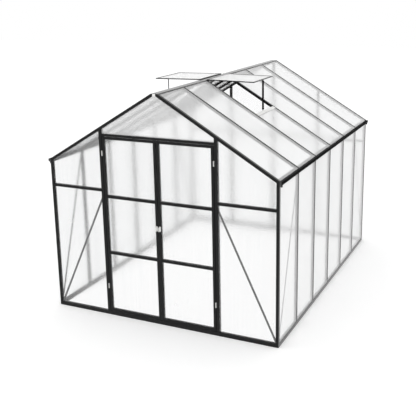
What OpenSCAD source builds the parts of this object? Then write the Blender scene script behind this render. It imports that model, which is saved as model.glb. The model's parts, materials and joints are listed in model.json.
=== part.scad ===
// Polycarbonate greenhouse with double doors and two roof vents.
// Origin: centre of the ground plan, on the ground. +Z up, +X to the right, the doors face -Y.

/* [House] */
// Width over the frame, across the gables
house_w = 2430; // [1800:10:3200]
// Length over the frame, along the ridge
house_l = 3150; // [2400:10:4800]
// Height of the roof surface at the eaves
eave_h = 1580; // [1450:5:1900]
// Height at which the two roof planes meet
ridge_h = 2305; // [2200:5:2900]
// Number of bays along the house
bays = 6; // [4:1:8]

/* [Sheets] */
// Thickness of the twin-wall sheets
sheet_t = 4; // [3:0.5:5]
// Clearance on each face of a sheet in its slot
sheet_gap = 0.5; // [0.3:0.1:0.8]
// Depth of the slots in the frame
slot_depth = 10; // [8:1:12]
// How far a sheet reaches into a slot
sheet_bite = 8; // [5:0.5:9]

/* [Frame sections] */
// Width and depth of the corner posts, gable rafters and base rails
frame_s = 28; // [26:1:40]
// Depth of the door posts and lintel, which carry the door stop
post_d = 38; // [36:1:46]
// Wall of the hollow sections
wall = 2; // [1.5:0.1:2.5]
// Thickness of the outer lip that covers a sheet's edge
lip = 2; // [1.5:0.5:3]
// Distance from the gable face to the slots for the gable sheets
gable_set = 12; // [10:1:16]
// Height of the base rails
base_h = 40; // [34:1:60]
// Width of the outer flange of a glazing bar
bar_face = 22; // [20:1:32]
// Width of the box of a glazing bar
bar_box = 18; // [16:1:24]
// Depth of a glazing bar
bar_d = 28; // [26:1:36]
// Thickness of a glazing bar's web between two sheets
bar_web = 3; // [2:0.5:4]
// Width of the mouth of a glazing bar's bolt channel
channel_w = 7; // [5:1:9]
// Gap at a butt joint between two members
seat = 0.3; // [0.2:0.1:0.5]

/* [Eaves and ridge] */
// Height of the eave beam on its outer side
eave_beam_h = 33; // [30:1:60]
// Reach of the ridge beam down each slope
ridge_reach = 52; // [44:1:60]
// Depth of the ridge's flat top below the line where the roof planes meet
ridge_flat = 20; // [10:1:22]
// Depth of the ridge beam below the roof surface
ridge_d = 34; // [32:1:50]
// Width of the gutters
gutter_w = 24; // [20:1:40]
// Height of the gutters
gutter_h = 28; // [24:1:45]
// Radius of the gutters' outlets
spigot_r = 9; // [7:0.5:11]
// Length of the outlets
spigot_l = 22; // [15:1:40]
// Distance of the outlets from the gables
spigot_inset = 20; // [14:1:60]
// Width of the caps on the ridge's ends
cap_w = 30; // [20:1:40]

/* [Doorway] */
// Width of the doorway between its posts
door_w = 1189; // [900:1:1300]
// Height of the doorway's lintel above the ground
door_h = 1854; // [1780:1:1900]
// Face width of the door posts
post_w = 30; // [28:1:40]
// Face height of the lintel
lintel_h = 22; // [20:1:36]
// Running gap round each door leaf
door_gap = 5; // [5:0.5:8]
// Gap between the two leaves, wide enough for their corners' sweep
meeting_gap = 7; // [7:0.5:12]
// Thickness of a door leaf
leaf_t = 26; // [22:1:28]
// Face width of a leaf's stiles and top rail
stile_w = 26; // [24:1:36]
// Face height of a leaf's bottom rail
bottom_rail_h = 26; // [24:1:40]
// Face height of a leaf's two crossbars
crossbar_h = 29; // [26:1:40]
// Height of the upper crossbar's middle
crossbar_high = 1252; // [1150:1:1350]
// Height of the lower crossbar's middle
crossbar_low = 672; // [550:1:800]
// Distance from a leaf's face to the slots for its panes
leaf_set = 9; // [8:1:12]
// Reach of the door stop behind a leaf
stop_reach = 12; // [8:1:16]
// Thickness of the door stop
stop_t = 3; // [2:0.5:4]

/* [Hinges and handles] */
// Radius of a hinge's knuckles
knuckle_r = 5; // [4:0.5:6]
// Radius of a hinge's pin
pin_r = 2.5; // [2:0.25:3]
// Running clearance round a hinge's pin
pin_gap = 0.06; // [0.03:0.01:0.1]
// Length of a hinge
hinge_l = 50; // [45:1:80]
// Length of a hinge's middle knuckle
knuckle_mid = 20; // [14:1:24]
// Clearance at each end of the middle knuckle
knuckle_gap = 0.4; // [0.2:0.1:0.8]
// Width of a hinge's plates
hinge_plate = 15; // [13:1:20]
// Thickness of a hinge's plates
plate_t = 2; // [1.5:0.5:3]
// Distance of the lower hinges from the leaf's bottom
hinge_low = 270; // [150:5:400]
// Distance of the upper hinges from the leaf's top
hinge_high = 165; // [100:5:400]
// Height of the handles' middle
handle_z = 992; // [850:2:1150]
// Height of a handle's backplate
handle_h = 52; // [46:1:90]
// Width of a handle's backplate
handle_w = 18; // [14:1:24]
// Radius of a handle's grip
grip_r = 4.5; // [3.5:0.5:6]
// Distance of a handle's grip from the door
grip_out = 24; // [20:1:30]

/* [Gables] */
// Height of the middle of the rails beside the door and in the back gable
rail_z = 1310; // [1200:1:1400]
// Face height of those rails
rail_h = 27; // [26:1:42]
// Face width of the posts in the back gable
back_post_w = 28; // [26:1:40]
// Width of the flat diagonal braces
brace_w = 20; // [16:1:30]
// Thickness of the flat diagonal braces
brace_t = 3; // [2:0.5:4]
// Height at which a front brace meets the door post
brace_top = 1232; // [1100:5:1280]

/* [Roof vents] */
// Bay that holds the vents, counted from the front
vent_bay = 3; // [2:1:4]
// Distance down the slope from the ridge to the vent's sill
vent_sill = 668; // [500:1:800]
// Face width of the sill
sill_w = 36; // [30:1:60]
// Length of a vent flap, down the slope
vent_len = 525; // [400:1:640]
// Face width of a flap's frame
vent_face = 14; // [10:1:20]
// Thickness of a flap's frame
vent_t = 10; // [8:1:14]
// How far a flap laps over the bars beside it
flap_lap = 6; // [2:1:10]
// Angle by which the flaps stand open from the slope
vent_open = 30; // [0:1:40]
// Radius of a vent's prop rod
prop_r = 5; // [3:0.5:6]
// Length of the prop's tail below the sill
prop_tail = 70; // [40:1:120]

/* [Hidden] */

frame_dark = "#2c2d2f";
gutter_black = "#141516";
sheet_tint = "#e9eef0";
pale = "#eceff0";

half_w = house_w / 2;
half_l = house_l / 2;
bay_l = house_l / bays;
roof_pitch = atan2(ridge_h - eave_h, half_w);
slope_l = half_w / cos(roof_pitch);
ridge_top = ridge_h - ridge_flat;

function bar_y(k) = -half_l + k * bay_l;
function roof_z(x, drop = 0) = ridge_h - abs(x) * tan(roof_pitch) - drop / cos(roof_pitch);

// Slots: width, depth of their inner wall, face of the sheet in them, sheet's edge beside a web
slot_w = sheet_t + 2 * sheet_gap;
seat_v = lip + slot_w;
skin_v = lip + sheet_gap;
edge_gap = bar_web / 2 + sheet_gap;

// Doorway and gable posts
post_x = door_w / 2;
post_out = post_x + post_w;
quarter_x = (half_w - frame_s + back_post_w / 2) / 2;

// Eave beam, gutter and ends of the roof's bars
eave_in = half_w - frame_s;
eave_low = eave_h - eave_beam_h;
gutter_top = roof_z(half_w, seat_v / 2);
gutter_low = gutter_top - gutter_h;
bar_end = slope_l - wall;

// Ends of the gable sheets at the base and at the rails
pane_low = base_h - sheet_bite;
rail_low = rail_z - rail_h / 2 + sheet_bite;
rail_high = rail_z + rail_h / 2 - sheet_bite;

// Vents: first bar of their bay, hinge line down the slope, sizes of sill, flap and pane
vent_y = bar_y(vent_bay - 1);
vent_hinge = ridge_reach - slot_depth + wall;
sill_d = bar_d - 2 * wall;
flap_w = bay_l + 2 * flap_lap;
pane_in = 2 * wall;

// Door leaves: outline, rails and hinge line
leaf_in = meeting_gap / 2;
leaf_out = post_x - door_gap;
leaf_low = base_h + door_gap;
leaf_high = door_h - door_gap;
rail_from = leaf_in + stile_w + seat;
rail_to = leaf_out - stile_w - seat;
top_rail_low = leaf_high - stile_w;
hinge_x = post_x - door_gap / 2;
hinge_y = -seat - knuckle_r;
hinge_zs = [leaf_low + hinge_low, leaf_high - hinge_high];

// ---- placing ----

// Children: x across the gable, y inwards from its face, z up
module on_gable(back = false) {
    rotate([0, 0, back ? 180 : 0]) translate([0, -half_l, 0]) children();
}

// Children: x along the house, y inwards from the wall's face, z up
module on_wall(side) {
    mirror([side < 0 ? 1 : 0, 0, 0]) rotate([0, 0, 90]) translate([0, -half_w, 0]) children();
}

// Children: x down the slope from the ridge, y along the house, z out of the roof plane
module on_slope(side) {
    mirror([side < 0 ? 1 : 0, 0, 0]) translate([0, 0, ridge_h]) rotate([0, roof_pitch, 0])
        children();
}

module both_sides() {
    for (side = [-1, 1]) mirror([side < 0 ? 1 : 0, 0, 0]) children();
}

// A profile with x across and y inwards becomes a bar down the slope
module down_slope(from, to) {
    translate([from, 0, 0]) rotate([180, 0, 0]) rotate([0, 90, 0]) rotate([0, 0, 90])
        linear_extrude(to - from) children();
}

// A profile with x across the house and y up becomes a bar along the house
module along_house(length) {
    rotate([90, 0, 0]) linear_extrude(length, center = true) children();
}

// A profile with x up and y inwards becomes a bar across the gable
module across(from, to, z) {
    translate([to, 0, z]) rotate([0, -90, 0]) linear_extrude(to - from) children();
}

// Everything that lies under the roof planes by at least drop
module under_roof(drop) {
    along_house(2 * house_l) polygon([[-half_w, 0], [half_w, 0], [half_w, roof_z(half_w, drop)],
        [0, roof_z(0, drop)], [-half_w, roof_z(half_w, drop)]]);
}

// ---- sections ----

// Glazing bar: outer flange, web between two sheet slots, box with a bolt channel behind
module bar_section() {
    difference() {
        union() {
            translate([-bar_face / 2, 0]) square([bar_face, lip]);
            translate([-bar_web / 2, 0]) square([bar_web, bar_d / 2]);
            translate([-bar_box / 2, seat_v]) square([bar_box, bar_d - seat_v]);
        }
        translate([wall - bar_box / 2, seat_v + wall])
            square([bar_box - 2 * wall, bar_d - seat_v - 2 * wall]);
        translate([-channel_w / 2, bar_d - 2 * wall]) square([channel_w, 3 * wall]);
    }
}

// Corner section: x in from the wall or roof face, y in from the gable face, two sheet slots
module corner_section() {
    difference() {
        square(frame_s);
        translate([frame_s - slot_depth, gable_set]) square([slot_depth + 1, slot_w]);
        translate([lip, frame_s - slot_depth]) square([slot_w, slot_depth + 1]);
        translate([seat_v + wall, wall])
            square([frame_s - slot_depth - seat_v - 2 * wall, frame_s - 2 * wall]);
    }
}

// Rail or post section of the gables: x across its face, y inwards, slots on its low or high side
module rail_section(face, depth, set, low, high) {
    back_v = set + slot_w + wall;
    difference() {
        square([face, depth]);
        if (low) translate([-1, set]) square([slot_depth + 1, slot_w]);
        if (high) translate([face - slot_depth, set]) square([slot_depth + 1, slot_w]);
        translate([wall, wall]) square([face - 2 * wall, set - 2 * wall]);
        translate([wall, back_v]) square([face - 2 * wall, depth - back_v - wall]);
    }
}

// Side base rail: x up, y in from the wall face; the sheets stand in a slot in its top
module side_base_section() {
    difference() {
        square([base_h, frame_s]);
        translate([base_h - slot_depth, lip]) square([slot_depth + 1, slot_w]);
        translate([wall, lip]) square([base_h - slot_depth - 2 * wall, slot_w + wall]);
        translate([wall, seat_v + wall])
            square([base_h - 2 * wall, frame_s - seat_v - 2 * wall]);
    }
}

// ---- base and posts ----

module gable_base(back) {
    color(frame_dark) on_gable(back) across(-half_w + frame_s + seat, half_w - frame_s - seat, 0)
        rail_section(base_h, frame_s, gable_set, false, true);
}

module side_base(side) {
    color(frame_dark) on_wall(side)
        across(-half_l + frame_s + seat, half_l - frame_s - seat, 0) side_base_section();
}

module base_front() gable_base(false);
module base_back() gable_base(true);
module base_left() side_base(-1);
module base_right() side_base(1);

module corner_posts() {
    color(frame_dark) for (back = [false, true]) intersection() {
        on_gable(back) both_sides() translate([half_w, 0, 0]) mirror([1, 0, 0])
            linear_extrude(ridge_h) corner_section();
        under_roof(frame_s + seat);
    }
}

module door_post() {
    stop_z = base_h + seat;
    translate([0, 0, stop_z]) linear_extrude(ridge_h)
        rail_section(post_w, post_d, gable_set, true, true);
    translate([-stop_reach, leaf_t + door_gap, stop_z])
        cube([stop_reach + wall, stop_t, door_h - seat - stop_z]);
}

module door_posts() {
    color(frame_dark) intersection() {
        on_gable() both_sides() translate([post_x, 0, 0]) door_post();
        under_roof(frame_s + seat);
    }
}

module door_lintel() {
    color(frame_dark) on_gable() across(-post_x + seat, post_x - seat, door_h)
        rail_section(lintel_h, post_d, gable_set, false, true);
}

module back_posts() {
    color(frame_dark) intersection() {
        on_gable(true) for (x = [-quarter_x, 0, quarter_x])
            translate([x - back_post_w / 2, 0, base_h + seat]) linear_extrude(ridge_h)
                rail_section(back_post_w, frame_s, gable_set, true, true);
        under_roof(frame_s + seat);
    }
}

module gable_rail(from, to) {
    across(from + seat, to - seat, rail_z - rail_h / 2)
        rail_section(rail_h, frame_s, gable_set, true, true);
}

module front_side_rails() {
    color(frame_dark) on_gable() both_sides() gable_rail(post_out, half_w - frame_s);
}

module back_rails() {
    half_post = back_post_w / 2;
    color(frame_dark) on_gable(true) both_sides() {
        gable_rail(half_post, quarter_x - half_post);
        gable_rail(quarter_x + half_post, half_w - frame_s);
    }
}

// ---- rafters, ridge and eaves ----

module rafters(back) {
    color(frame_dark) on_gable(back) both_sides() intersection() {
        on_slope(1) translate([-frame_s, 0, 0]) rotate([0, 90, 0])
            linear_extrude(slope_l + 2 * frame_s) corner_section();
        translate([seat / 2, -1, 0]) cube([half_w - seat / 2, frame_s + 2, ridge_top]);
    }
}

module front_rafters() rafters(false);
module back_rafters() rafters(true);

// Band below both roof planes: as far as reach down the slopes, from outer to inner, flat on top
module ridge_band(reach, outer, inner, top) {
    for (side = [0, 1]) mirror([side, 0]) intersection() {
        translate([0, ridge_h]) rotate(-roof_pitch) translate([-ridge_reach, -inner])
            square([ridge_reach + reach, inner - outer]);
        square([half_w, top]);
    }
}

module ridge_beam() {
    color(frame_dark) along_house(house_l - 2 * frame_s - 2 * seat) difference() {
        ridge_band(ridge_reach, 0, ridge_d, ridge_top);
        ridge_band(ridge_reach - slot_depth - 2 * wall, seat_v + wall, ridge_d - wall,
            ridge_top - wall);
        for (side = [0, 1]) mirror([side, 0]) translate([0, ridge_h]) rotate(-roof_pitch)
            translate([ridge_reach - slot_depth, -seat_v]) square([2 * slot_depth, slot_w]);
    }
}

module ridge_caps() {
    low = roof_z(cap_w / 2, frame_s + wall);
    color(pale) for (back = [false, true]) on_gable(back)
        translate([-cap_w / 2, -seat - plate_t, low]) cube([cap_w, plate_t, ridge_top - low]);
}

module eave_section() {
    difference() {
        polygon([[half_w - seat_v, eave_low], [eave_in, eave_low], [eave_in, roof_z(eave_in, seat_v)],
            [half_w - seat_v, roof_z(half_w - seat_v, seat_v)]]);
        translate([eave_in + wall, eave_low + wall])
            square([frame_s - seat_v - 2 * wall, eave_beam_h - seat_v - 3 * wall]);
    }
}

module eave_beams() {
    color(frame_dark) both_sides() along_house(house_l - 2 * frame_s - 2 * seat) eave_section();
}

module at_spigots() {
    for (end = [-1, 1]) translate([half_w + seat + gutter_w / 2, end * (half_l - spigot_inset),
        gutter_low - spigot_l]) children();
}

// Gutter: its back laps the sheets' upper ends, a cap closes each end, two spigots drain it
module gutter(side) {
    color(gutter_black) mirror([side < 0 ? 1 : 0, 0, 0]) difference() {
        union() {
            along_house(house_l) translate([half_w + seat, gutter_low])
                square([gutter_w, gutter_h]);
            along_house(house_l - 2 * frame_s - 2 * seat) translate([half_w - lip, gutter_low])
                square([lip + seat + wall, gutter_h]);
            at_spigots() cylinder(r = spigot_r, h = spigot_l + wall, $fn = 32);
        }
        along_house(house_l - 2 * wall) translate([half_w + seat + wall, gutter_low + wall])
            square([gutter_w - 2 * wall, gutter_h]);
        at_spigots() translate([0, 0, -1])
            cylinder(r = spigot_r - wall, h = spigot_l + 2 * wall, $fn = 32);
    }
}

module gutter_left() gutter(-1);
module gutter_right() gutter(1);

// ---- glazing bars ----

module stud(side, k) {
    foot = base_h + seat;
    head = gutter_low - seat;
    on_wall(side) translate([bar_y(k), 0, 0]) difference() {
        translate([0, 0, foot]) linear_extrude(head - foot) bar_section();
        translate([-bar_face, seat_v - seat, eave_low - seat]) cube([2 * bar_face, bar_d, gutter_h]);
    }
}

module studs(side) {
    color(frame_dark) for (k = [1:bays - 1]) stud(side, k);
}

module studs_left() studs(-1);
module studs_right() studs(1);

// Roof bars: the box stops at the eave beam, flange and web run on over it
module roof_bars(side) {
    under = seat_v - seat;
    far = half_w + frame_s;
    near = eave_in - seat;
    color(frame_dark) mirror([side < 0 ? 1 : 0, 0, 0]) difference() {
        on_slope(1) for (k = [1:bays - 1]) translate([0, bar_y(k), 0])
            down_slope(ridge_reach + seat, bar_end) bar_section();
        along_house(house_l) polygon([[near, 0], [far, 0], [far, ridge_h - far * tan(roof_pitch)
            - under / cos(roof_pitch)], [near, roof_z(near, under)]]);
    }
}

module roof_bars_left() roof_bars(-1);
module roof_bars_right() roof_bars(1);

// ---- sheets ----

module gable_pane(from, to, low, high) {
    translate([from, gable_set + sheet_gap, low]) cube([to - from, sheet_t, high - low]);
}

// One bay of a gable: a sheet below the rail and a sheet above it
module gable_bay(from, to) {
    gable_pane(from, to, pane_low, rail_low);
    intersection() {
        gable_pane(from, to, rail_high, ridge_h);
        under_roof(frame_s - sheet_bite);
    }
}

module front_sheets() {
    color(sheet_tint, 0.4) on_gable() both_sides()
        gable_bay(post_out - sheet_bite, half_w - frame_s + sheet_bite);
}

module gable_sheet() {
    color(sheet_tint, 0.4) on_gable() intersection() {
        gable_pane(-post_x - sheet_bite, post_x + sheet_bite, door_h + lintel_h - sheet_bite,
            ridge_h);
        under_roof(frame_s - sheet_bite);
    }
}

module back_sheets() {
    inset = back_post_w / 2 - sheet_bite;
    color(sheet_tint, 0.4) on_gable(true) both_sides() {
        gable_bay(inset, quarter_x - inset);
        gable_bay(quarter_x + inset, half_w - frame_s + sheet_bite);
    }
}

// Edges of bay k's sheet along the house: in a bar's slot or in the slot of a gable's corner
function skin_from(k) = k == 0 ? frame_s - sheet_bite - half_l : bar_y(k) + edge_gap;
function skin_to(k) = k == bays - 1 ? half_l - frame_s + sheet_bite : bar_y(k + 1) - edge_gap;

module side_sheets(side) {
    top = roof_z(half_w, seat_v + 1);
    notch = roof_z(half_w, frame_s) - 1;
    color(sheet_tint, 0.4) on_wall(side) difference() {
        for (k = [0:bays - 1]) translate([skin_from(k), skin_v, pane_low])
            cube([skin_to(k) - skin_from(k), sheet_t, top - pane_low]);
        for (end = [-1, 1]) translate([end * half_l - frame_s - 1, 0, notch])
            cube([2 * frame_s + 2, bar_d, frame_s * 2]);
    }
}

module side_sheets_left() side_sheets(-1);
module side_sheets_right() side_sheets(1);

module roof_sheets(side) {
    color(sheet_tint, 0.4) on_slope(side) for (k = [0:bays - 1]) {
        start = k == vent_bay - 1 ? vent_sill + sill_w - sheet_bite : ridge_reach - sheet_bite;
        translate([start, skin_from(k), -skin_v - sheet_t])
            cube([bar_end - start, skin_to(k) - skin_from(k), sheet_t]);
    }
}

module roof_sheets_left() roof_sheets(-1);
module roof_sheets_right() roof_sheets(1);

// ---- braces ----

// Flat strip from one corner of a bay to the opposite one, cut to the bay's outline
module brace(from, low, to, high, depth) {
    run = to - from;
    rise = high - low;
    translate([0, depth + brace_t, 0]) rotate([90, 0, 0]) linear_extrude(brace_t) intersection() {
        translate([from, low]) rotate(atan2(rise, run)) translate([-brace_w, -brace_w / 2])
            square([norm([run, rise]) + 2 * brace_w, brace_w]);
        translate([min(from, to), low]) square([abs(run), rise + brace_w]);
    }
}

module front_braces() {
    color(frame_dark) on_gable() both_sides() brace(half_w - frame_s - seat, base_h + seat,
        post_out + seat, brace_top, gable_set + slot_w + 1);
}

module side_braces() {
    top = eave_low - seat - brace_w;
    color(frame_dark) for (side = [-1, 1]) on_wall(side) for (end = [-1, 1])
        mirror([end > 0 ? 1 : 0, 0, 0]) brace(-half_l + frame_s + seat, base_h + seat,
            bar_y(1) - bar_box / 2 - seat, top, seat_v + 1);
}

// ---- vents ----

module vent_sills() {
    gap = bar_face / 2 + seat;
    color(pale) for (side = [-1, 1]) on_slope(side)
        translate([vent_sill, vent_y + gap, -sill_d]) difference() {
            cube([sill_w, bay_l - 2 * gap, sill_d]);
            translate([sill_w - slot_depth, -1, sill_d - seat_v])
                cube([slot_depth + 1, bay_l, slot_w]);
            translate([wall, -1, wall]) cube([sill_w - 2 * wall, bay_l, sill_d - seat_v - 2 * wall]);
        }
}

// Children: a flap lying closed with its hinge edge on x = 0, lifted by the opening angle
module on_flap(side) {
    on_slope(side) translate([vent_hinge, vent_y - flap_lap, seat]) rotate([0, -vent_open, 0])
        children();
}

// Pane of a flap, in its frame's slots; grown by a clearance it cuts those slots
module flap_pane(grow) {
    inset = pane_in - grow;
    translate([inset, inset, (vent_t - sheet_t) / 2 - grow])
        cube([vent_len - 2 * inset, flap_w - 2 * inset, sheet_t + 2 * grow]);
}

module vent_frame(side) {
    color(frame_dark) on_flap(side) difference() {
        for (x = [0, vent_len - vent_face]) translate([x, 0, 0]) cube([vent_face, flap_w, vent_t]);
        flap_pane(sheet_gap);
    }
    color(frame_dark) on_flap(side) difference() {
        for (y = [0, flap_w - vent_face]) translate([vent_face + seat, y, 0])
            cube([vent_len - 2 * vent_face - 2 * seat, vent_face, vent_t]);
        flap_pane(sheet_gap);
    }
}

module vent_frame_left() vent_frame(-1);
module vent_frame_right() vent_frame(1);

module vent_panes() {
    color(sheet_tint, 0.4) for (side = [-1, 1]) on_flap(side) flap_pane(0);
}

// The prop runs from under the flap's outer rail, past the sill's inner edge, to its tail
module vent_props() {
    grip_l = vent_len - vent_face / 2;
    flat = roof_pitch - vent_open;
    top = [vent_hinge * cos(roof_pitch) + grip_l * cos(flat),
        ridge_h - vent_hinge * sin(roof_pitch) - grip_l * sin(flat)];
    low = [vent_sill * cos(roof_pitch) - sill_d * sin(roof_pitch) - prop_r - seat,
        ridge_h - vent_sill * sin(roof_pitch) - sill_d * cos(roof_pitch)];
    lean = atan2(top[0] - low[0], top[1] - low[1]);
    color(frame_dark) both_sides() translate([low[0], vent_y + bay_l / 2, low[1]])
        rotate([0, lean, 0]) translate([0, 0, -prop_tail])
            cylinder(r = prop_r, h = prop_tail + norm(top - low) - 2 * seat, $fn = 24);
}

// ---- doors ----

module leaf_rail(low, height, has_low, has_high) {
    across(rail_from, rail_to, low) rail_section(height, leaf_t, leaf_set, has_low, has_high);
}

module leaf_frame() {
    translate([leaf_in, 0, leaf_low]) linear_extrude(leaf_high - leaf_low)
        rail_section(stile_w, leaf_t, leaf_set, false, true);
    translate([leaf_out - stile_w, 0, leaf_low]) linear_extrude(leaf_high - leaf_low)
        rail_section(stile_w, leaf_t, leaf_set, true, false);
    leaf_rail(leaf_low, bottom_rail_h, false, true);
    leaf_rail(top_rail_low, stile_w, true, false);
    for (z = [crossbar_low, crossbar_high])
        leaf_rail(z - crossbar_h / 2, crossbar_h, true, true);
}

module leaf_panes() {
    lows = [leaf_low + bottom_rail_h, crossbar_low + crossbar_h / 2, crossbar_high + crossbar_h / 2];
    highs = [crossbar_low - crossbar_h / 2, crossbar_high - crossbar_h / 2, top_rail_low];
    for (k = [0:2]) translate([leaf_in + stile_w - sheet_bite, leaf_set + sheet_gap,
        lows[k] - sheet_bite]) cube([leaf_out - leaf_in - 2 * stile_w + 2 * sheet_bite, sheet_t,
            highs[k] - lows[k] + 2 * sheet_bite]);
}

module leaf_handle() {
    half_grip = (handle_h - handle_w) / 2;
    translate([leaf_in + stile_w / 2, -seat, handle_z]) {
        rotate([90, 0, 0]) linear_extrude(plate_t) {
            square([handle_w, handle_h - handle_w], center = true);
            for (end = [-1, 1]) translate([0, end * (handle_h - handle_w) / 2])
                circle(d = handle_w, $fn = 32);
        }
        for (end = [-1, 1]) translate([0, 0, end * half_grip]) {
            rotate([90, 0, 0]) cylinder(r = grip_r, h = grip_out, $fn = 32);
            translate([0, -grip_out, 0]) sphere(r = grip_r, $fn = 32);
        }
        translate([0, -grip_out, -half_grip]) cylinder(r = grip_r, h = 2 * half_grip, $fn = 32);
    }
}

module at_hinges() {
    for (z = hinge_zs) translate([hinge_x, hinge_y, z]) children();
}

// Plate on the post with the two end knuckles and the pin
module hinge_fixed() {
    end_l = (hinge_l - knuckle_mid) / 2 - knuckle_gap;
    clear_h = knuckle_mid + 2 * knuckle_gap;
    difference() {
        translate([0, knuckle_r - plate_t, -hinge_l / 2]) cube([hinge_plate, plate_t, hinge_l]);
        translate([-knuckle_r, -knuckle_r, -clear_h / 2])
            cube([2 * knuckle_r + 1, 3 * knuckle_r, clear_h]);
    }
    for (z = [-hinge_l / 2, hinge_l / 2 - end_l]) translate([0, 0, z])
        cylinder(r = knuckle_r, h = end_l, $fn = 32);
    translate([0, 0, -hinge_l / 2]) cylinder(r = pin_r, h = hinge_l, $fn = 32);
}

// Plate on the stile with the middle knuckle, bored for the pin
module hinge_moving() {
    difference() {
        union() {
            translate([-hinge_plate, knuckle_r - plate_t, -hinge_l / 2])
                cube([hinge_plate - knuckle_r - 1, plate_t, hinge_l]);
            translate([-hinge_plate, knuckle_r - plate_t, -knuckle_mid / 2])
                cube([hinge_plate, plate_t, knuckle_mid]);
            translate([0, 0, -knuckle_mid / 2]) cylinder(r = knuckle_r, h = knuckle_mid, $fn = 32);
        }
        translate([0, 0, -hinge_l]) cylinder(r = pin_r + pin_gap, h = 2 * hinge_l, $fn = 32);
    }
}

// Children: drawn for the right leaf, mirrored for the left one
module door_side(side) {
    on_gable() mirror([side < 0 ? 1 : 0, 0, 0]) children();
}

module door_hinge_plates() color(pale) for (side = [-1, 1]) door_side(side) at_hinges() hinge_fixed();

module door_left_frame() color(frame_dark) door_side(-1) leaf_frame();
module door_left_panes() color(sheet_tint, 0.4) door_side(-1) leaf_panes();
module door_left_handle() color(pale) door_side(-1) leaf_handle();
module door_left_hinges() color(pale) door_side(-1) at_hinges() hinge_moving();
module door_right_frame() color(frame_dark) door_side(1) leaf_frame();
module door_right_panes() color(sheet_tint, 0.4) door_side(1) leaf_panes();
module door_right_handle() color(pale) door_side(1) leaf_handle();
module door_right_hinges() color(pale) door_side(1) at_hinges() hinge_moving();

base_front();
base_back();
base_left();
base_right();
corner_posts();
door_posts();
door_lintel();
front_rafters();
back_rafters();
ridge_beam();
ridge_caps();
eave_beams();
gutter_left();
gutter_right();
studs_left();
studs_right();
roof_bars_left();
roof_bars_right();
front_side_rails();
back_posts();
back_rails();
front_braces();
side_braces();
front_sheets();
gable_sheet();
back_sheets();
side_sheets_left();
side_sheets_right();
roof_sheets_left();
roof_sheets_right();
vent_sills();
vent_frame_left();
vent_frame_right();
vent_panes();
vent_props();
door_hinge_plates();
door_left_frame();
door_left_panes();
door_left_handle();
door_left_hinges();
door_right_frame();
door_right_panes();
door_right_handle();
door_right_hinges();
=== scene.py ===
# %% [markdown]
# # A polycarbonate greenhouse, finished in Blender
# The frame, doors, gutters and vents come ready made from the CAD model, each
# already in its place and in metres. This lesson gives them their finishes,
# glazes them with real twin-wall sheet, and adds the small fixings that hold
# such a house together. Everything new is measured from the CAD, so nothing
# has to be fitted by eye.

# %% Load the frame
import math
import json

import bpy
from mathutils import Matrix, Vector

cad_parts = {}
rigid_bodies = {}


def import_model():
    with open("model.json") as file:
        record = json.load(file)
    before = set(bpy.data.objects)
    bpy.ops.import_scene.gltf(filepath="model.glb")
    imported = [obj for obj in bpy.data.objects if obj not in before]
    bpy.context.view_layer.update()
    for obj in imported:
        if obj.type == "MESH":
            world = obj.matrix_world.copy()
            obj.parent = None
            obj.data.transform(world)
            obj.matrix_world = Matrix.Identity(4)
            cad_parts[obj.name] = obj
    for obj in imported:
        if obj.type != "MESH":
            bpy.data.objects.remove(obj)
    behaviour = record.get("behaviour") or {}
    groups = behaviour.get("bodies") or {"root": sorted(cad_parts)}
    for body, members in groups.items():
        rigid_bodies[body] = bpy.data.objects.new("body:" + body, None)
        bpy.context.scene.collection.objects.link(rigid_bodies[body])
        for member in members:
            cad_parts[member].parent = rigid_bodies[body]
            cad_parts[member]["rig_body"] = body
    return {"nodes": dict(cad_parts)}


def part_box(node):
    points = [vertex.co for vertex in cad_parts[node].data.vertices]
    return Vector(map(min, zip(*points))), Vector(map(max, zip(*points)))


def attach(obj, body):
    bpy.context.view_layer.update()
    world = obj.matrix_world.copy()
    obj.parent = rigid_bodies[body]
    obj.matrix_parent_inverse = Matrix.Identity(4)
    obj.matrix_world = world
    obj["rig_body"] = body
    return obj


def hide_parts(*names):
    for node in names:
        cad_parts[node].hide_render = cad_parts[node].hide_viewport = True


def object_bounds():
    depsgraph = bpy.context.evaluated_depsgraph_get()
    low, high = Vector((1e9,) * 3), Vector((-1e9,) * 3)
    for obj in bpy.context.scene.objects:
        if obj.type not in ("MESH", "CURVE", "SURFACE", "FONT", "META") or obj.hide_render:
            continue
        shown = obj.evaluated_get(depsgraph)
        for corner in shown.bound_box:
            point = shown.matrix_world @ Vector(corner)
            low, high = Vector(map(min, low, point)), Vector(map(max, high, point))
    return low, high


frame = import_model()
cad_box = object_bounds()
scene = bpy.context.scene
print("the greenhouse measures", [round(high - low, 3) for low, high in zip(*cad_box)])

# %% [markdown]
# ## Where we stand
# A greenhouse is looked at from a few paces off and a little above the
# eaves, so that the front, one long wall and both roof slopes all show. A
# camera could be aimed with a constraint. Here it is placed by plain numbers,
# which is easier to repeat. It is tipped down a little less than straight at
# the house, and the lens is shifted down to make up for it, as is done when
# buildings are pictured, so that upright posts stay nearly upright.

# %% Camera
MIDDLE = Vector((0, 0, 1))  # a point in the middle of the house
EYE = Vector((3.2643, -7.2894, 3.2310))
AIM = (1.3246, 0.01788, 0.44127)  # turns round X, Y and Z, in radians
FOCAL = 62.826  # mm, for a sensor of 36 mm
SENSOR = 36.0
RISE = -0.0962  # the lens shift, as a share of the sensor's width

camera_data = bpy.data.cameras.new("camera")
camera_data.lens = FOCAL
camera_data.sensor_width = SENSOR
camera_data.shift_y = RISE
camera = bpy.data.objects.new("camera", camera_data)
scene.collection.objects.link(camera)
camera.location = EYE
camera.rotation_euler = AIM
scene.camera = camera
print("camera", round((EYE - MIDDLE).length, 2), "m from the middle of the house")

# %% [markdown]
# ## Small helpers for modelling
# An operator acts on whatever is selected, and the CAD parts are selected
# after loading. So every new piece starts with nothing selected.


# %% Helpers for objects and edit mode
WELD = 1e-6  # points closer than this, in metres, are one point


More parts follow.
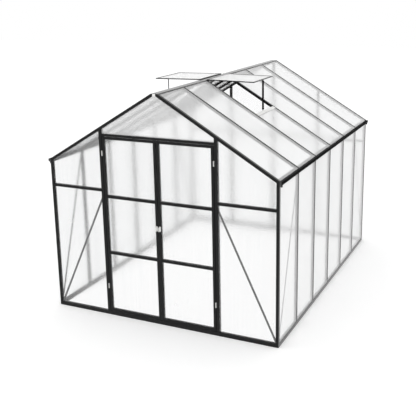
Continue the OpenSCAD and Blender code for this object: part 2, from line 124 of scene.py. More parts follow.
def clear_selection():
    if bpy.context.mode != "OBJECT":
        bpy.ops.object.mode_set(mode="OBJECT")
    bpy.ops.object.select_all(action="DESELECT")


def pick(*things):
    clear_selection()
    for thing in things:
        thing.select_set(True)
    bpy.context.view_layer.objects.active = things[0]


def edit_all(thing):
    pick(thing)
    bpy.ops.object.mode_set(mode="EDIT")
    bpy.ops.mesh.select_all(action="SELECT")


def leave_edit():
    bpy.ops.object.mode_set(mode="OBJECT")


def close_mesh():
    """Turns every face outwards and leaves edit mode."""
    bpy.ops.mesh.select_all(action="SELECT")
    bpy.ops.mesh.normals_make_consistent(inside=False)
    leave_edit()


def settle(thing):
    """Moves an object's place, turn and size into its mesh."""
    pick(thing)
    bpy.ops.object.transform_apply(location=True, rotation=True, scale=True)


def join(name, things):
    pick(*things)
    bpy.ops.object.join()
    whole = bpy.context.view_layer.objects.active
    whole.name = name
    whole.data.name = name
    return whole


def apply_modifiers(thing):
    pick(thing)
    for modifier in list(thing.modifiers):
        bpy.ops.object.modifier_apply(modifier=modifier.name)


def strip(name, low, high, rise):
    """A flat bar: a square plane scaled to its outline, then extruded up."""
    clear_selection()
    bpy.ops.mesh.primitive_plane_add(size=1, location=(0, 0, 0))
    bar = bpy.context.view_layer.objects.active
    bar.name = name
    bar.scale = (high[0] - low[0], high[1] - low[1], 1)
    bar.location = ((low[0] + high[0]) / 2, (low[1] + high[1]) / 2, low[2])
    settle(bar)
    edit_all(bar)
    bpy.ops.mesh.extrude_region_move(TRANSFORM_OT_translate={"value": (0, 0, rise)})
    close_mesh()
    return bar


print("helpers ready")

# %% [markdown]
# ## Arithmetic for materials
# A material is a drawing of nodes joined by wires. Writing out every math
# node is long and hard to read, so a wire gets a small class of its own here.
# Adding or multiplying two wires then makes the math node for us. A second
# class adds any other node, and a third one knows what materials need.


# %% Wires, drawings and finishes
class Wire:
    """One output of a shader node, which can be added, taken away and scaled."""

    def __init__(self, tree, socket):
        self.tree = tree
        self.socket = socket

    def _maths(self, kind, other, turned=False):
        node = self.tree.nodes.new("ShaderNodeMath")
        node.operation = kind
        pair = (other, self) if turned else (self, other)
        for place, value in zip(node.inputs, pair):
            if isinstance(value, Wire):
                self.tree.links.new(value.socket, place)
            else:
                place.default_value = value
        return Wire(self.tree, node.outputs[0])

    def __add__(self, other):
        return self._maths("ADD", other)

    def __radd__(self, other):
        return self._maths("ADD", other, True)

    def __sub__(self, other):
        return self._maths("SUBTRACT", other)

    def __rsub__(self, other):
        return self._maths("SUBTRACT", other, True)

    def __mul__(self, other):
        return self._maths("MULTIPLY", other)

    def __rmul__(self, other):
        return self._maths("MULTIPLY", other, True)

    def size(self):
        return self._maths("ABSOLUTE", 0.0)

    def clipped(self):
        return self._maths("MAXIMUM", 0.0)._maths("MINIMUM", 1.0)


class Drawing:
    """A node drawing: node() adds one node and gives back its output."""

    def __init__(self, tree):
        self.tree = tree
        self.tree.nodes.clear()

    def node(self, kind, settings=None, values=None, output=0):
        made = self.tree.nodes.new(kind)
        for setting, value in (settings or {}).items():
            setattr(made, setting, value)
        for place, value in (values or {}).items():
            if isinstance(value, Wire):
                self.tree.links.new(value.socket, made.inputs[place])
            else:
                made.inputs[place].default_value = value
        return Wire(self.tree, made.outputs[output]) if len(made.outputs) else None

    def mix_shaders(self, share, first, second):
        """The first shader, with the second over it by a share."""
        return self.node("ShaderNodeMixShader", values={0: share, 1: first, 2: second})

    def ray(self, kind):
        """1 on rays of one kind and 0 on all others."""
        return self.node("ShaderNodeLightPath", output=f"Is {kind} Ray")


class Finish(Drawing):
    """A material being drawn. Its patterns are measured in metres."""

    def __init__(self, name):
        self.material = bpy.data.materials.new(name)
        self.material.use_nodes = True
        super().__init__(self.material.node_tree)

    def place(self):
        return self.node("ShaderNodeTexCoord", output="Object")

    def sideways(self):
        """How far a point lies across the house, in metres."""
        return self.node("ShaderNodeSeparateXYZ", values={"Vector": self.place()}, output="X")

    def slant(self):
        """0 where a face is seen square on, and 1 at its edge."""
        return self.node("ShaderNodeLayerWeight", values={"Blend": 0.5}, output="Facing")

    def cloud(self, scale, detail=2.0, stretch=None):
        """Soft noise, 0 to 1, at so many blobs a metre."""
        where = self.place()
        if stretch is not None:
            where = self.node(
                "ShaderNodeVectorMath",
                {"operation": "MULTIPLY"},
                {0: where, 1: stretch},
            )
        return self.node(
            "ShaderNodeTexNoise",
            values={"Vector": where, "Scale": scale, "Detail": detail},
        )

    def between(self, share, low, high):
        """A colour part of the way from low to high."""
        return self.node(
            "ShaderNodeMix",
            {"data_type": "RGBA"},
            {0: share, 6: (*low, 1.0), 7: (*high, 1.0)},
            output=2,
        )

    def bump(self, height, depth, strength):
        return self.node(
            "ShaderNodeBump",
            values={"Height": height, "Distance": depth, "Strength": strength},
        )

    def done(self, shader):
        self.node("ShaderNodeOutputMaterial", values={"Surface": shader})
        return self.material


print("wires, drawings and finishes ready")

# %% [markdown]
# ## Powder-coated frame
# The aluminium is powder coated in satin black. Such paint is almost black
# where it is seen square on, and turns grey where it is seen at a slant,
# because its smooth skin mirrors more of the pale surroundings there. The
# colour itself stays near black, and a clear coat that grows towards the
# slant gives the gloss. Powder flows out into a faint orange peel, and
# handling leaves slightly duller patches.


# %% Satin black powder coat
GLOSS_STARTS = 0.35  # the slant from which the clear coat shows
GLOSS_GROWS = 1.5  # how fast it grows with the slant
MOST_GLOSS = 0.84  # the coat's weight stays below this


def satin_black():
    coat = Finish("satin_black_powder_coat")
    patches = coat.cloud(3.0, 3.0)
    grain = coat.cloud(420.0)
    peel = coat.cloud(260.0, 1.0)
    gloss = ((coat.slant() - GLOSS_STARTS) * GLOSS_GROWS).clipped() * MOST_GLOSS
    shader = coat.node(
        "ShaderNodeBsdfPrincipled",
        values={
            "Base Color": coat.between(patches, (0.004, 0.0042, 0.0044), (0.008, 0.0082, 0.0085)),
            "Roughness": 0.3 + 0.1 * patches + 0.05 * grain,
            "Specular IOR Level": 0.2,
            "Coat Weight": gloss,
            "Coat Roughness": 0.12,
            "Coat IOR": 1.52,
            "Normal": coat.bump(peel, 0.00006, 0.6),
        },
    )
    return coat.done(shader)


frame_paint = satin_black()
print("made", frame_paint.name)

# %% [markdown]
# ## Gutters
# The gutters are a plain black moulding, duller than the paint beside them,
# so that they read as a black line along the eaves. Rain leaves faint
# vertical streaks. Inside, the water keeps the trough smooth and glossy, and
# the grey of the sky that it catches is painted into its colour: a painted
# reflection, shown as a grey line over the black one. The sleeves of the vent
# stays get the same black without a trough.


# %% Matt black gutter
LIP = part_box("gutter_right")[1][0] - 0.005  # 5 mm inside the outer face
NO_TROUGH = 0.0
SHARP_EDGE = 800.0  # the finish changes within 1/800 m of the lip


def matt_black(name, lip):
    """Black; nearer the middle of the house than the lip, shiny and with a painted grey
    reflection of the sky.
    """
    plastic = Finish(name)
    streaks = plastic.cloud(18.0, 3.0, (1.0, 1.0, 0.15))
    grain = plastic.cloud(900.0, 1.0)
    trough_with_painted_sky = ((lip - plastic.sideways().size()) * SHARP_EDGE).clipped()
    shader = plastic.node(
        "ShaderNodeBsdfPrincipled",
        values={
            # Inside the lip the colour is lifted to grey, a painted reflection of the sky, and a
            # real coat goes over it.
            "Base Color": plastic.between(trough_with_painted_sky, (0.001, 0.001, 0.0011), (0.07, 0.07, 0.071)),
            "Roughness": 0.62 + 0.16 * streaks,
            "Specular IOR Level": 0.04,
            "Coat Weight": (trough_with_painted_sky * plastic.slant() * 1.3).clipped(),
            "Coat Roughness": 0.25,
            "Normal": plastic.bump(grain, 0.00004, 0.5),
        },
    )
    return plastic.done(shader)


gutter_black = matt_black("matt_black_gutter", LIP)
sleeve_black = matt_black("matt_black_sleeve", NO_TROUGH)
print("made", gutter_black.name, "and", sleeve_black.name)

# %% [markdown]
# ## Pale fittings
# Door handles, ridge caps and vent sills are off-white: a moulded plastic
# with a fine texture and a soft sheen. On the hinges only the round knuckles
# are pale, and their plates are black like the frame. One finish serves for
# both: it asks how far a point is from the hinge's axis and changes colour
# at the edge of the knuckle.


# %% Off-white moulded plastic
def off_white():
    plastic = Finish("off_white_moulding")
    shade = plastic.cloud(30.0, 3.0)
    grain = plastic.cloud(1500.0, 1.0)
    shader = plastic.node(
        "ShaderNodeBsdfPrincipled",
        values={
            "Base Color": plastic.between(shade, (0.80, 0.80, 0.785), (0.88, 0.88, 0.865)),
            "Roughness": 0.38 + 0.12 * shade,
            "Normal": plastic.bump(grain, 0.00003, 0.5),
        },
    )
    return plastic.done(shader)


pale_plastic = off_white()
print("made", pale_plastic.name)


# %% Hinges with pale knuckles
KNUCKLE_EDGE = 4000.0  # the colour changes within 1/4000 m
PAINT_SKIN = 0.0002  # the pale finish reaches this far past the knuckle


def hinge_finish(axis, knuckle):
    hinge = Finish("pale_knuckle_on_black_plate")
    shade = hinge.cloud(60.0)
    grain = hinge.cloud(900.0, 1.0)
    off_axis = (hinge.sideways().size() - axis).size()
    on_knuckle = ((knuckle - off_axis) * KNUCKLE_EDGE).clipped()
    share = on_knuckle * (0.92 + 0.08 * shade)
    shader = hinge.node(
        "ShaderNodeBsdfPrincipled",
        values={
            "Base Color": hinge.between(share, (0.006, 0.006, 0.0065), (0.72, 0.72, 0.705)),
            "Roughness": 0.34 + 0.1 * shade,
            "Normal": hinge.bump(grain, 0.00003, 0.5),
        },
    )
    return hinge.done(shader)


hinge_low, hinge_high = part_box("door_right_hinges")
KNUCKLE = (hinge_high[1] - hinge_low[1]) / 2
HINGE_AXIS = hinge_high[0] - KNUCKLE
hinge_paint = hinge_finish(HINGE_AXIS, KNUCKLE + PAINT_SKIN)
print("hinge axis", round(HINGE_AXIS, 4), "m out, knuckle radius", round(KNUCKLE, 4))

# %% [markdown]
# ## Twin-wall sheet
# Frosted twin-wall polycarbonate is two thin skins held apart by ribs. It lets
# nearly all light through but turns each ray a little, so a bar close behind
# it looks crisp and one farther off melts away. Painting a milky colour would
# hide near and far alike. So the skins are made of rough, weakly bending
# glass, and the real ribs are modelled below. Faint bands run along the ribs,
# as they do in any extruded sheet. The outermost skin also carries a thin matt
# layer against the sun: a light haze on the gables, a stronger one on the pane
# over the door, and on the walls and the roof one that turns milky where it is
# seen at a slant. Rays on their way to a lamp pass straight through, which
# keeps the inside of the house bright.


# %% Frosted twin-wall polycarbonate
BENDING = 1.06  # an index near 1, so that a skin hardly bends a ray
CLEARNESS = 0.994  # the share of a skin that acts as glass
MOST_MILK = 0.9
ACROSS_GABLE = (75.0, 0.8, 0.8)  # bands a metre along X, Y and Z, on the gables
ALONG_WALL = (0.8, 75.0, 0.8)  # and on the long walls, the roof and the vents


def frosted_sheet(name, flutes, frost, haze=0.0, veil=0.0):
    """Frost blurs, haze whitens everywhere, and veil whitens at a slant."""
    sheet = Finish(name)
    drift = sheet.cloud(2.2, 3.0)
    bands = ((sheet.cloud(1.0, 2.0, flutes) - 0.5) * 2.4 + 0.5).clipped()
    skin = sheet.node(
        "ShaderNodeBsdfPrincipled",
        values={
            "Base Color": sheet.between(bands, (0.987, 0.989, 0.990), (1.0, 1.0, 1.0)),
            "Roughness": frost - 0.03 + 0.06 * drift,
            "IOR": BENDING,
            "Transmission Weight": CLEARNESS,
        },
    )
    if haze or veil:
        milk = sheet.node("ShaderNodeBsdfDiffuse", values={"Color": (1.0, 1.0, 1.0, 1.0)})
        slant = sheet.slant()
        inside = sheet.node("ShaderNodeNewGeometry", output="Backfacing")
        weather = MOST_MILK - MOST_MILK * inside
        skin = sheet.mix_shaders((haze + veil * slant * slant).clipped() * weather, skin, milk)
    through = sheet.node("ShaderNodeBsdfTransparent")
    return sheet.done(sheet.mix_shaders(sheet.ray("Shadow"), skin, through))


sheet_clear = frosted_sheet("gable_twin_wall", ACROSS_GABLE, 0.26)
sheet_gable = frosted_sheet("gable_twin_wall_weather_side", ACROSS_GABLE, 0.26, 0.16)
sheet_top = frosted_sheet("gable_top_weather_side", ACROSS_GABLE, 0.12, 0.56)
sheet_roof = frosted_sheet("roof_twin_wall", ALONG_WALL, 0.16)
sheet_weather = frosted_sheet("roof_twin_wall_weather_side", ALONG_WALL, 0.16, 0.12, 0.75)
for grade in (sheet_clear, sheet_gable, sheet_top, sheet_roof, sheet_weather):
    print("made", grade.name)

# %% [markdown]
# ## Painting the CAD parts
# The CAD sorts its parts by finish. Each part gets the finish of its own
# slot, apart from the hinges, which have two colours.

# %% Give every CAD part its finish
PAINT = {
    "dark_frame": frame_paint,
    "gutter_black": gutter_black,
    "twin_wall_sheet": sheet_clear,
    "pale_fitting": pale_plastic,
}
for name, part in frame["nodes"].items():
    slot = part.data.materials[0].name.split(".")[0]
    part.data.materials[0] = hinge_paint if "hinge" in name else PAINT[slot]
print("painted", len(frame["nodes"]), "CAD parts")

# %% [markdown]
# ## Glazing
# On the real house each bay is closed by one sheet, 4 mm thick, with ribs
# every 6 mm that run down the wall or the slope, so that damp can drain. The
# CAD holds each sheet as a plain slab. Each slab is measured and a ribbed
# sheet is built in its place: two skins, one rib arrayed across the width,
# and then a cut along every sloping edge of the slab.

# %% Sizes of the twin-wall sheet
SKIN = 0.0004
RIB = 0.0003
RIB_PITCH = 0.006
SLIP = 0.00002  # keeps a rib off the skins, so that no two faces coincide
print("a rib every", RIB_PITCH * 1000, "mm between skins of", SKIN * 1000, "mm")


# %% Measure the slabs of a CAD part
def loose_copies(node):
    """A copy of every separate solid of a CAD part."""
    clear_selection()
    source = frame["nodes"][node]
    whole = bpy.data.objects.new(node + "_slab", source.data.copy())
    scene.collection.objects.link(whole)
    edit_all(whole)
    bpy.ops.mesh.remove_doubles(threshold=WELD)
    bpy.ops.mesh.separate(type="LOOSE")
    leave_edit()
    return list(bpy.context.selected_objects)


def throw_away(things):
    for thing in things:
        bpy.data.objects.remove(thing)


def reach(points, way):
    """How far points go one way: the least and the most."""
    along = [point.dot(way) for point in points]
    return min(along), max(along)


def axes_of(slab):
    """Directions across the ribs, along them, and out to the weather."""
    broad = max(slab.data.polygons, key=lambda face: face.area)
    out = broad.normal.copy()
    if out.dot(broad.center - MIDDLE) < 0:
        out.negate()
    across = Vector((0, 0, 1)).cross(out).normalized()
    along = out.cross(across)
    return across, along, out


print("slabs can be measured")


# %% Two skins and a row of ribs
def flat_sheet(name, width, length, thick):
    lower = strip(name, (0, 0, 0), (width, length, 0), SKIN)
    upper = strip(name, (0, 0, thick - SKIN), (width, length, 0), SKIN)
    count = int(width / RIB_PITCH)
    start = (width - (count - 1) * RIB_PITCH - RIB) / 2
    between_skins = thick - 2 * (SKIN + SLIP)
    rib = strip(name, (start, 0, SKIN + SLIP), (start + RIB, length, 0), between_skins)
    row = rib.modifiers.new("row", "ARRAY")
    row.count = count
    row.use_relative_offset = False
    row.use_constant_offset = True
    row.constant_offset_displace = (RIB_PITCH, 0, 0)
    apply_modifiers(rib)
    return join(name, [lower, upper, rib])


print("flat sheets can be made")

# %% Put a sheet in a slab's place and cut its slopes
BROAD = 0.1  # faces that look out more than this are the slab's broad sides
SLOPING = 0.02  # edges that lean less than this are square already
FACES_OUT = 0.9


def cut_slopes(sheet, slab, across, along, out):
    """Cuts along each edge of the slab that runs neither across nor along."""
    edit_all(sheet)
    for face in slab.data.polygons:
        tilt = abs(face.normal.dot(across)), abs(face.normal.dot(along))
        if abs(face.normal.dot(out)) < BROAD and min(tilt) > SLOPING:
            bpy.ops.mesh.select_all(action="SELECT")
            bpy.ops.mesh.bisect(
                plane_co=face.center,
                plane_no=face.normal,
                use_fill=True,
                clear_outer=True,
            )
    close_mesh()


def ribbed_sheet(name, slab, grades):
    """The last grade goes on the outermost face, and the first on all others."""
    across, along, out = axes_of(slab)
    points = [v.co for v in slab.data.vertices]
    spans = [reach(points, way) for way in (across, along, out)]
    sheet = flat_sheet(name, *(high - low for low, high in spans))
    corner = sum((way * span[0] for way, span in zip((across, along, out), spans)), Vector())
    turn = Matrix((across, along, out)).transposed().to_4x4()
    sheet.matrix_world = Matrix.Translation(corner) @ turn
    settle(sheet)
    cut_slopes(sheet, slab, across, along, out)
    for grade in grades:
        sheet.data.materials.append(grade)
    outermost = spans[2][1] - SLIP
    for face in sheet.data.polygons:
        is_outer = face.normal.dot(out) > FACES_OUT and face.center.dot(out) > outermost
        face.material_index = len(grades) - 1 if is_outer else 0
    return sheet


def glaze(node, name, grades):
    slabs = loose_copies(node)
    sheets = [ribbed_sheet(f"{name}_{i}", slab, grades) for i, slab in enumerate(slabs)]
    whole = join(name, sheets)
    throw_away(slabs)
    body = frame["nodes"][node]["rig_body"]
    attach(whole, body)
    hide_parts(node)
    print(name, "has", len(slabs), "sheets and", len(whole.data.polygons), "faces, on", body)


# %% Glaze every opening
GLAZING = {
    "front_sheets": "glazing_front",
    "gable_sheet": "glazing_over_door",
    "back_sheets": "glazing_back",
    "side_sheets_left": "glazing_left_wall",
    "side_sheets_right": "glazing_right_wall",
    "roof_sheets_left": "glazing_left_slope",
    "roof_sheets_right": "glazing_right_slope",
    "vent_panes": "glazing_vents",
    "door_left_panes": "glazing_left_door",
    "door_right_panes": "glazing_right_door",
}


def grades_for(node):
    """The finish of a sheet, and that of its weather side."""
    if node.startswith(("side", "roof", "vent")):
        return sheet_roof, sheet_weather
    return sheet_clear, sheet_top if node == "gable_sheet" else sheet_gable


for node, name in GLAZING.items():
    glaze(node, name, grades_for(node))

# %% [markdown]
# ## Bolts and nuts
# The real house comes as a kit. A bolt head slides in the channel along the
# inner side of each bar, and a washer and nut outside it pull the joint
# tight. They are far too many and too small for the CAD, so they are made
# here. One bolt end is modelled from filled rings that are raised step by
# step, and it is then copied to both ends of every bar. To find the places,
# each bar of the CAD is measured: its longest edge gives its direction, and
# the nut sits on the middle of the face that looks into the house.


# %% A piece raised in steps from a ring
def stack(name, sides, radius, steps):
    """Each step goes up by a rise, and the ring is then scaled by a share."""
    clear_selection()
    bpy.ops.mesh.primitive_circle_add(vertices=sides, radius=radius, fill_type="NGON")
    piece = bpy.context.view_layer.objects.active
    piece.name = name
    edit_all(piece)
    height = 0.0
    for rise, share in steps:
        bpy.ops.mesh.extrude_region_move(TRANSFORM_OT_translate={"value": (0, 0, rise)})
        height += rise
        bpy.ops.transform.resize(value=(share, share, 1), center_override=(0, 0, height))
    close_mesh()
    return piece


# %% One bolt end with its washer and nut
# An M6 nut 5 mm high stands on a washer 12.4 mm across, and four grooves stand
# for the thread past it. A step is a rise in metres and a scale for its ring.
WASHER = 0.0014
WASHER_RADIUS = 0.0062
WASHER_EDGE = 0.0003
NUT = 0.005
NUT_RADIUS = 0.0058
NUT_FOOT = 0.0005
NUT_EDGE = 0.0008
BOLT_RADIUS = 0.003
GROOVE = 0.88
THREAD = [(0.0006, GROOVE), (0.0004, 1 / GROOVE)] * 4
BOLT_TIP = (0.0006, 0.8)


def bolt_end():
    plate = [(WASHER - WASHER_EDGE, 1.0), (WASHER_EDGE, 0.95)]
    washer = stack("washer", 24, WASHER_RADIUS, plate)
    block = [(NUT_FOOT, 1.0), (NUT - NUT_FOOT - NUT_EDGE, 1.0), (NUT_EDGE, 0.86)]
    nut = stack("nut", 6, NUT_RADIUS, block)
    nut.location.z = WASHER
    settle(nut)
    shank = stack("shank", 12, BOLT_RADIUS, [(WASHER + NUT, 1.0), *THREAD, BOLT_TIP])
    return join("bolt_end", [washer, nut, shank])


nut_pattern = bolt_end()
print("a bolt end stands", round(nut_pattern.dimensions.z * 1000, 1), "mm high")


# %% Measure the bars of a CAD part
FLAT = 0.02  # faces that meet at less than this, in radians, are one face


def measure_bars(node):
    """Loose copies of a CAD part's bars, with every flat face in one piece."""
    bars = loose_copies(node)
    for bar in bars:
        edit_all(bar)
        bpy.ops.mesh.dissolve_limited(angle_limit=FLAT)
        leave_edit()
    return bars


def corners(thing):
    """The lowest and the highest corner of the box round a mesh."""
    points = [v.co for v in thing.data.vertices]
    return [Vector([end(p[k] for p in points) for k in range(3)]) for end in (min, max)]


def bar_ends(bar, looks, back):
    """Two places on the face of a bar that looks one way, back from its ends."""
    points = [v.co.copy() for v in bar.data.vertices]
    edges = [[points[k] for k in edge.vertices] for edge in bar.data.edges]
    first, last = max(edges, key=lambda ends: (ends[0] - ends[1]).length)
    along = (last - first).normalized()
    out = (looks - looks.dot(along) * along).normalized()
    across = along.cross(out)
    low, high = reach(points, along)
    middle = across * (sum(reach(points, across)) / 2) + out * reach(points, out)[1]
    return [(along * place + middle, out) for place in (low + back, high - back)]


def copy_to(pattern, name, place, out):
    """A copy with its own mesh, standing on a face that looks along out."""
    twin = pattern.copy()
    twin.data = pattern.data.copy()
    twin.name = name
    scene.collection.objects.link(twin)
    turn = out.to_track_quat("Z", "Y").to_matrix().to_4x4()
    twin.matrix_world = Matrix.Translation(place) @ turn
    settle(twin)
    return twin


print("bars can be measured")

# %% Which parts are bolted, and how many metres from their ends
BOLTED = {
    "studs_left": 0.03,
    "studs_right": 0.03,
    "side_braces": 0.035,
    "base_left": 0.03,
    "base_right": 0.03,
    "corner_posts": 0.06,
    "door_posts": 0.03,
    "back_posts": 0.03,
    "front_rafters": 0.06,
    "back_rafters": 0.06,
    "front_side_rails": 0.02,
    "back_rails": 0.02,
    "front_braces": 0.035,
    "base_front": 0.03,
    "base_back": 0.03,
    "roof_bars_left": 0.06,
    "roof_bars_right": 0.06,
}


def inward(node, bar):
    """The way from a bar into the house: down, across or lengthways."""
    middle = sum((v.co for v in bar.data.vertices), Vector()) / len(bar.data.vertices)
    if node.startswith("roof"):
        return Vector((0, 0, -1))
    if node.startswith(("studs", "side", "base_left", "base_right")):
        return Vector((-1 if middle.x > 0 else 1, 0, 0))
    return Vector((0, -1 if middle.y > 0 else 1, 0))


print(len(BOLTED), "CAD parts are bolted")


# %% Zinc-plated steel
def zinc():
    steel = Finish("zinc_plated_steel")
    bloom = steel.cloud(240.0, 3.0)
    shader = steel.node(
        "ShaderNodeBsdfPrincipled",
        values={
            "Base Color": steel.between(bloom, (0.46, 0.47, 0.48), (0.62, 0.62, 0.60)),
            "Metallic": 1.0,
            "Roughness": 0.32 + 0.16 * bloom,
        },
    )
    return steel.done(shader)


zinc_plate = zinc()
print("made", zinc_plate.name)


# %% Put the nuts on the frame
def hand_over(whole, body, finish):
    """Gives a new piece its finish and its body."""
    whole.data.materials.clear()
    whole.data.materials.append(finish)
    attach(whole, body)


def bolt_up(pattern, spots, name, body, finish):
    copies = [copy_to(pattern, f"{name}_{i}", *spot) for i, spot in enumerate(spots)]
    hand_over(join(name, copies), body, finish)
    print(name, "has", len(spots), "fixings, on", body)


nut_spots = []
for node, back in BOLTED.items():
    bars = measure_bars(node)
    for bar in bars:
        nut_spots += bar_ends(bar, inward(node, bar), back)
    throw_away(bars)
bolt_up(nut_pattern, nut_spots, "frame_nuts", "house", zinc_plate)
throw_away([nut_pattern])

# %% [markdown]
# ## Screws of the doors and hinges
# Each door leaf is four corners and two crossbars, screwed through the face
# of the stile with black pan-head screws. The hinge plates have smaller
# ones. A pan head is a low dome with a round recess, so it is raised in
# steps too, and the last steps go inwards and down.

# %% One door screw and one hinge screw
DOOR_SCREW = 0.0038
HINGE_SCREW = 0.0022
SMALLER = 0.55
DOME = [(0.0009, 1.0), (0.0006, 0.88), (0.0004, 0.72), (0.0, 0.55), (-0.0008, 0.9)]
LOW_DOME = [(rise * SMALLER, share) for rise, share in DOME]
door_screw = stack("door_screw", 16, DOOR_SCREW, DOME)
hinge_screw = stack("hinge_screw", 12, HINGE_SCREW, LOW_DOME)
print("door screw", round(door_screw.dimensions.x * 1000, 1), "mm across")

# %% Where the screws go
OUTSIDE = Vector((0, -1, 0))
TO_MID_STILE = 0.0133  # from a crossbar's end
TO_SCREWS = 0.0102  # from the hinge axis
PLATE = 0.002  # the hinge plate's thickness
FROM_PLATE_END = 0.008


def leaf_spots(node):
    """The middle of the stile beside each end of each crossbar."""
    bars = measure_bars(node)
    spots = []
    for bar in bars:
        if bar.dimensions.x > bar.dimensions.z:
            spots += bar_ends(bar, OUTSIDE, -TO_MID_STILE)
    throw_away(bars)
    return spots


def hinge_spots(node, away):
    """Two screws on each plate, away from the middle of the house or towards it."""
    hinges = loose_copies(node)
    spots = []
    for hinge in hinges:
        low, high = corners(hinge)
        side = 1 if low.x > 0 else -1
        centre = side * (HINGE_AXIS + (TO_SCREWS if away else -TO_SCREWS))
        for height in (low.z + FROM_PLATE_END, high.z - FROM_PLATE_END):
            spots.append((Vector((centre, high.y - PLATE, height)), OUTSIDE))
    throw_away(hinges)
    return spots


print("hinge screws stand", round(TO_SCREWS * 1000, 1), "mm from the hinge axis")


# %% Screw the leaves and the hinges together
def screw_in(pattern, spots, name, body):
    bolt_up(pattern, spots, name, body, frame_paint)


for side in ("left", "right"):
    body = f"door_{side}_leaf"
    screw_in(door_screw, leaf_spots(f"door_{side}_frame"), f"{side}_leaf_screws", body)
    plates = hinge_spots(f"door_{side}_hinges", False)
    screw_in(hinge_screw, plates, f"{side}_hinge_screws", body)
screw_in(hinge_screw, hinge_spots("door_hinge_plates", True), "frame_hinge_screws", "house")
throw_away([door_screw, hinge_screw])

# %% [markdown]
# ## Sleeves of the vent stays
# Each roof vent stands on a thin stay. A thicker black sleeve slides on the
# stay and holds the flap where it is left. The sleeve on the right reaches up
# to the flap, and the one on the left is short. A sleeve is a tube, so the
# outline of its wall is spun round the stay, with a collar at both ends for
# the fingers.


# %% A tube spun from the outline of its wall
ROUNDING = 0.0006


def ring(name, inner, outer, low, high):
    clear_selection()
    bpy.ops.mesh.primitive_plane_add(size=1, rotation=(math.pi / 2, 0, 0))
    tube = bpy.context.view_layer.objects.active
    tube.name = name
    tube.scale = (outer - inner, high - low, 1)
    tube.location = ((inner + outer) / 2, 0, (low + high) / 2)
    settle(tube)
    edit_all(tube)
    bpy.ops.mesh.bevel(offset=ROUNDING, segments=2, affect="VERTICES")
    bpy.ops.mesh.select_all(action="SELECT")
    bpy.ops.mesh.delete(type="ONLY_FACE")
    bpy.ops.mesh.select_all(action="SELECT")
    bpy.ops.mesh.spin(steps=24, angle=2 * math.pi, center=(0, 0, 0), axis=(0, 0, 1))
    bpy.ops.mesh.select_all(action="SELECT")
    bpy.ops.mesh.remove_doubles(threshold=WELD)
    close_mesh()
    return tube


print("tubes can be spun")

# %% Sleeves on both stays
stays = loose_copies("vent_props")
stay_radius = min(stays[0].dimensions.x, stays[0].dimensions.y) / 2
SLEEVE_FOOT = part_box("vent_sills")[1][2] + 0.005  # 5 mm above the sill
SHORT = 0.11  # the length of the left sleeve
UNDER_FLAP = 0.008  # from the right sleeve's top to the stay's
PLAY = 0.0003  # between a stay and its sleeve
WALL = 0.0048
COLLAR = 0.012  # the height of a collar
RIM = 0.0015  # how far a collar stands out


def sleeve(stay, name):
    low, high = corners(stay)
    middle = (low + high) / 2
    inner = stay_radius + PLAY
    top = high.z - UNDER_FLAP if middle.x > 0 else SLEEVE_FOOT + SHORT
    steps = [
        (SLEEVE_FOOT, SLEEVE_FOOT + COLLAR, RIM),
        (SLEEVE_FOOT + COLLAR, top - COLLAR, 0.0),
        (top - COLLAR, top, RIM),
    ]
    parts = [ring(name, inner, inner + WALL + rim, start, end) for start, end, rim in steps]
    tube = join(name, parts)
    tube.location = (middle.x, middle.y, 0)
    settle(tube)
    print(name, "from", round(SLEEVE_FOOT, 3), "to", round(top, 3), "m up")
    return tube


sleeves = join("vent_stay_sleeves", [sleeve(stay, f"sleeve_{i}") for i, stay in enumerate(stays)])
hand_over(sleeves, "house", sleeve_black)
throw_away(stays)

# %% [markdown]
# ## A bright, even studio
# The house stands on a plain white floor under soft, even light. The sky
# gives most of the light, and one broad lamp from the front left gives the
# faces a little difference. The eye and anything glossy see the sky and the
# floor as clean white, while the light that they cast stays plain.


# %% Sky
SKY_LIGHT = 0.97  # on the house
SEEN_WHITE = 1.0  # by the eye and in anything glossy or clear


def studio_sky():
    world = bpy.data.worlds.new("studio_sky")
    scene.world = world
    world.use_nodes = True
    sky = Drawing(world.node_tree)
    white = (1, 1, 1, 1)
    plain = sky.node("ShaderNodeBackground", values={"Color": white, "Strength": SKY_LIGHT})
    clean = sky.node("ShaderNodeBackground", values={"Color": white, "Strength": SEEN_WHITE})
    seen = (sky.ray("Camera") + sky.ray("Glossy") + sky.ray("Transmission")).clipped()
    mixed = sky.mix_shaders(seen, plain, clean)
    sky.node("ShaderNodeOutputWorld", values={"Surface": mixed})


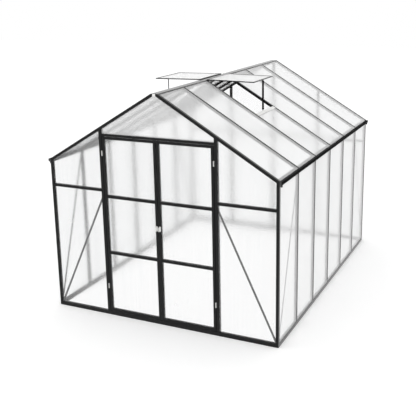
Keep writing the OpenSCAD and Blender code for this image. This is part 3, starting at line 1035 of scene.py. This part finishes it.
studio_sky()
print("sky set")

# %% Floor
FLOOR_LIFT = 0.2  # a faint glow that only the eye sees, so that white stays white
FLOOR_SIZE = 60
BELOW_BASE = 0.0005


def white_floor():
    floor = Finish("white_floor")
    lit = floor.node("ShaderNodeBsdfDiffuse", values={"Color": (0.94, 0.94, 0.94, 1.0)})
    lift = floor.node("ShaderNodeEmission", values={"Strength": FLOOR_LIFT})
    white = floor.node("ShaderNodeEmission", values={"Strength": SEEN_WHITE})
    lifted = floor.node("ShaderNodeAddShader", values={0: lit, 1: lift})
    direct = floor.mix_shaders(floor.ray("Camera"), lit, lifted)
    mirrored = (floor.ray("Glossy") + floor.ray("Transmission")).clipped()
    floor.material.cycles.emission_sampling = "NONE"
    return floor.done(floor.mix_shaders(mirrored, direct, white))


clear_selection()
floor_place = (0, 0, cad_box[0][2] - BELOW_BASE)
bpy.ops.mesh.primitive_plane_add(size=FLOOR_SIZE, location=floor_place)
ground = bpy.context.view_layer.objects.active
ground.name = "studio_floor"
ground.data.materials.append(white_floor())
print("floor laid at", round(ground.location.z, 4))


# %% Lamp
def soft_lamp(name, place, size, power):
    lamp_data = bpy.data.lights.new(name, "AREA")
    lamp_data.shape = "SQUARE"
    lamp_data.size = size
    lamp_data.energy = power
    lamp = bpy.data.objects.new(name, lamp_data)
    scene.collection.objects.link(lamp)
    lamp.location = place
    lamp.rotation_euler = (MIDDLE - Vector(place)).to_track_quat("-Z", "Y").to_euler()


soft_lamp("front_lamp", (-5.5, -6.5, 6.5), size=4.0, power=70)
print("lamp placed")

# %% [markdown]
# ## Render settings that belong to the scene
# Many clear skins lie behind each other, so the renderer is allowed enough
# see-through steps to reach the far wall. Colours are shown as they are.

# %% View settings
scene.view_settings.view_transform = "Standard"
scene.cycles.max_bounces = 48
scene.cycles.glossy_bounces = 24
scene.cycles.diffuse_bounces = 8
scene.cycles.transmission_bounces = 48
scene.cycles.transparent_max_bounces = 96
print("colours are shown through the", scene.view_settings.view_transform, "transform")
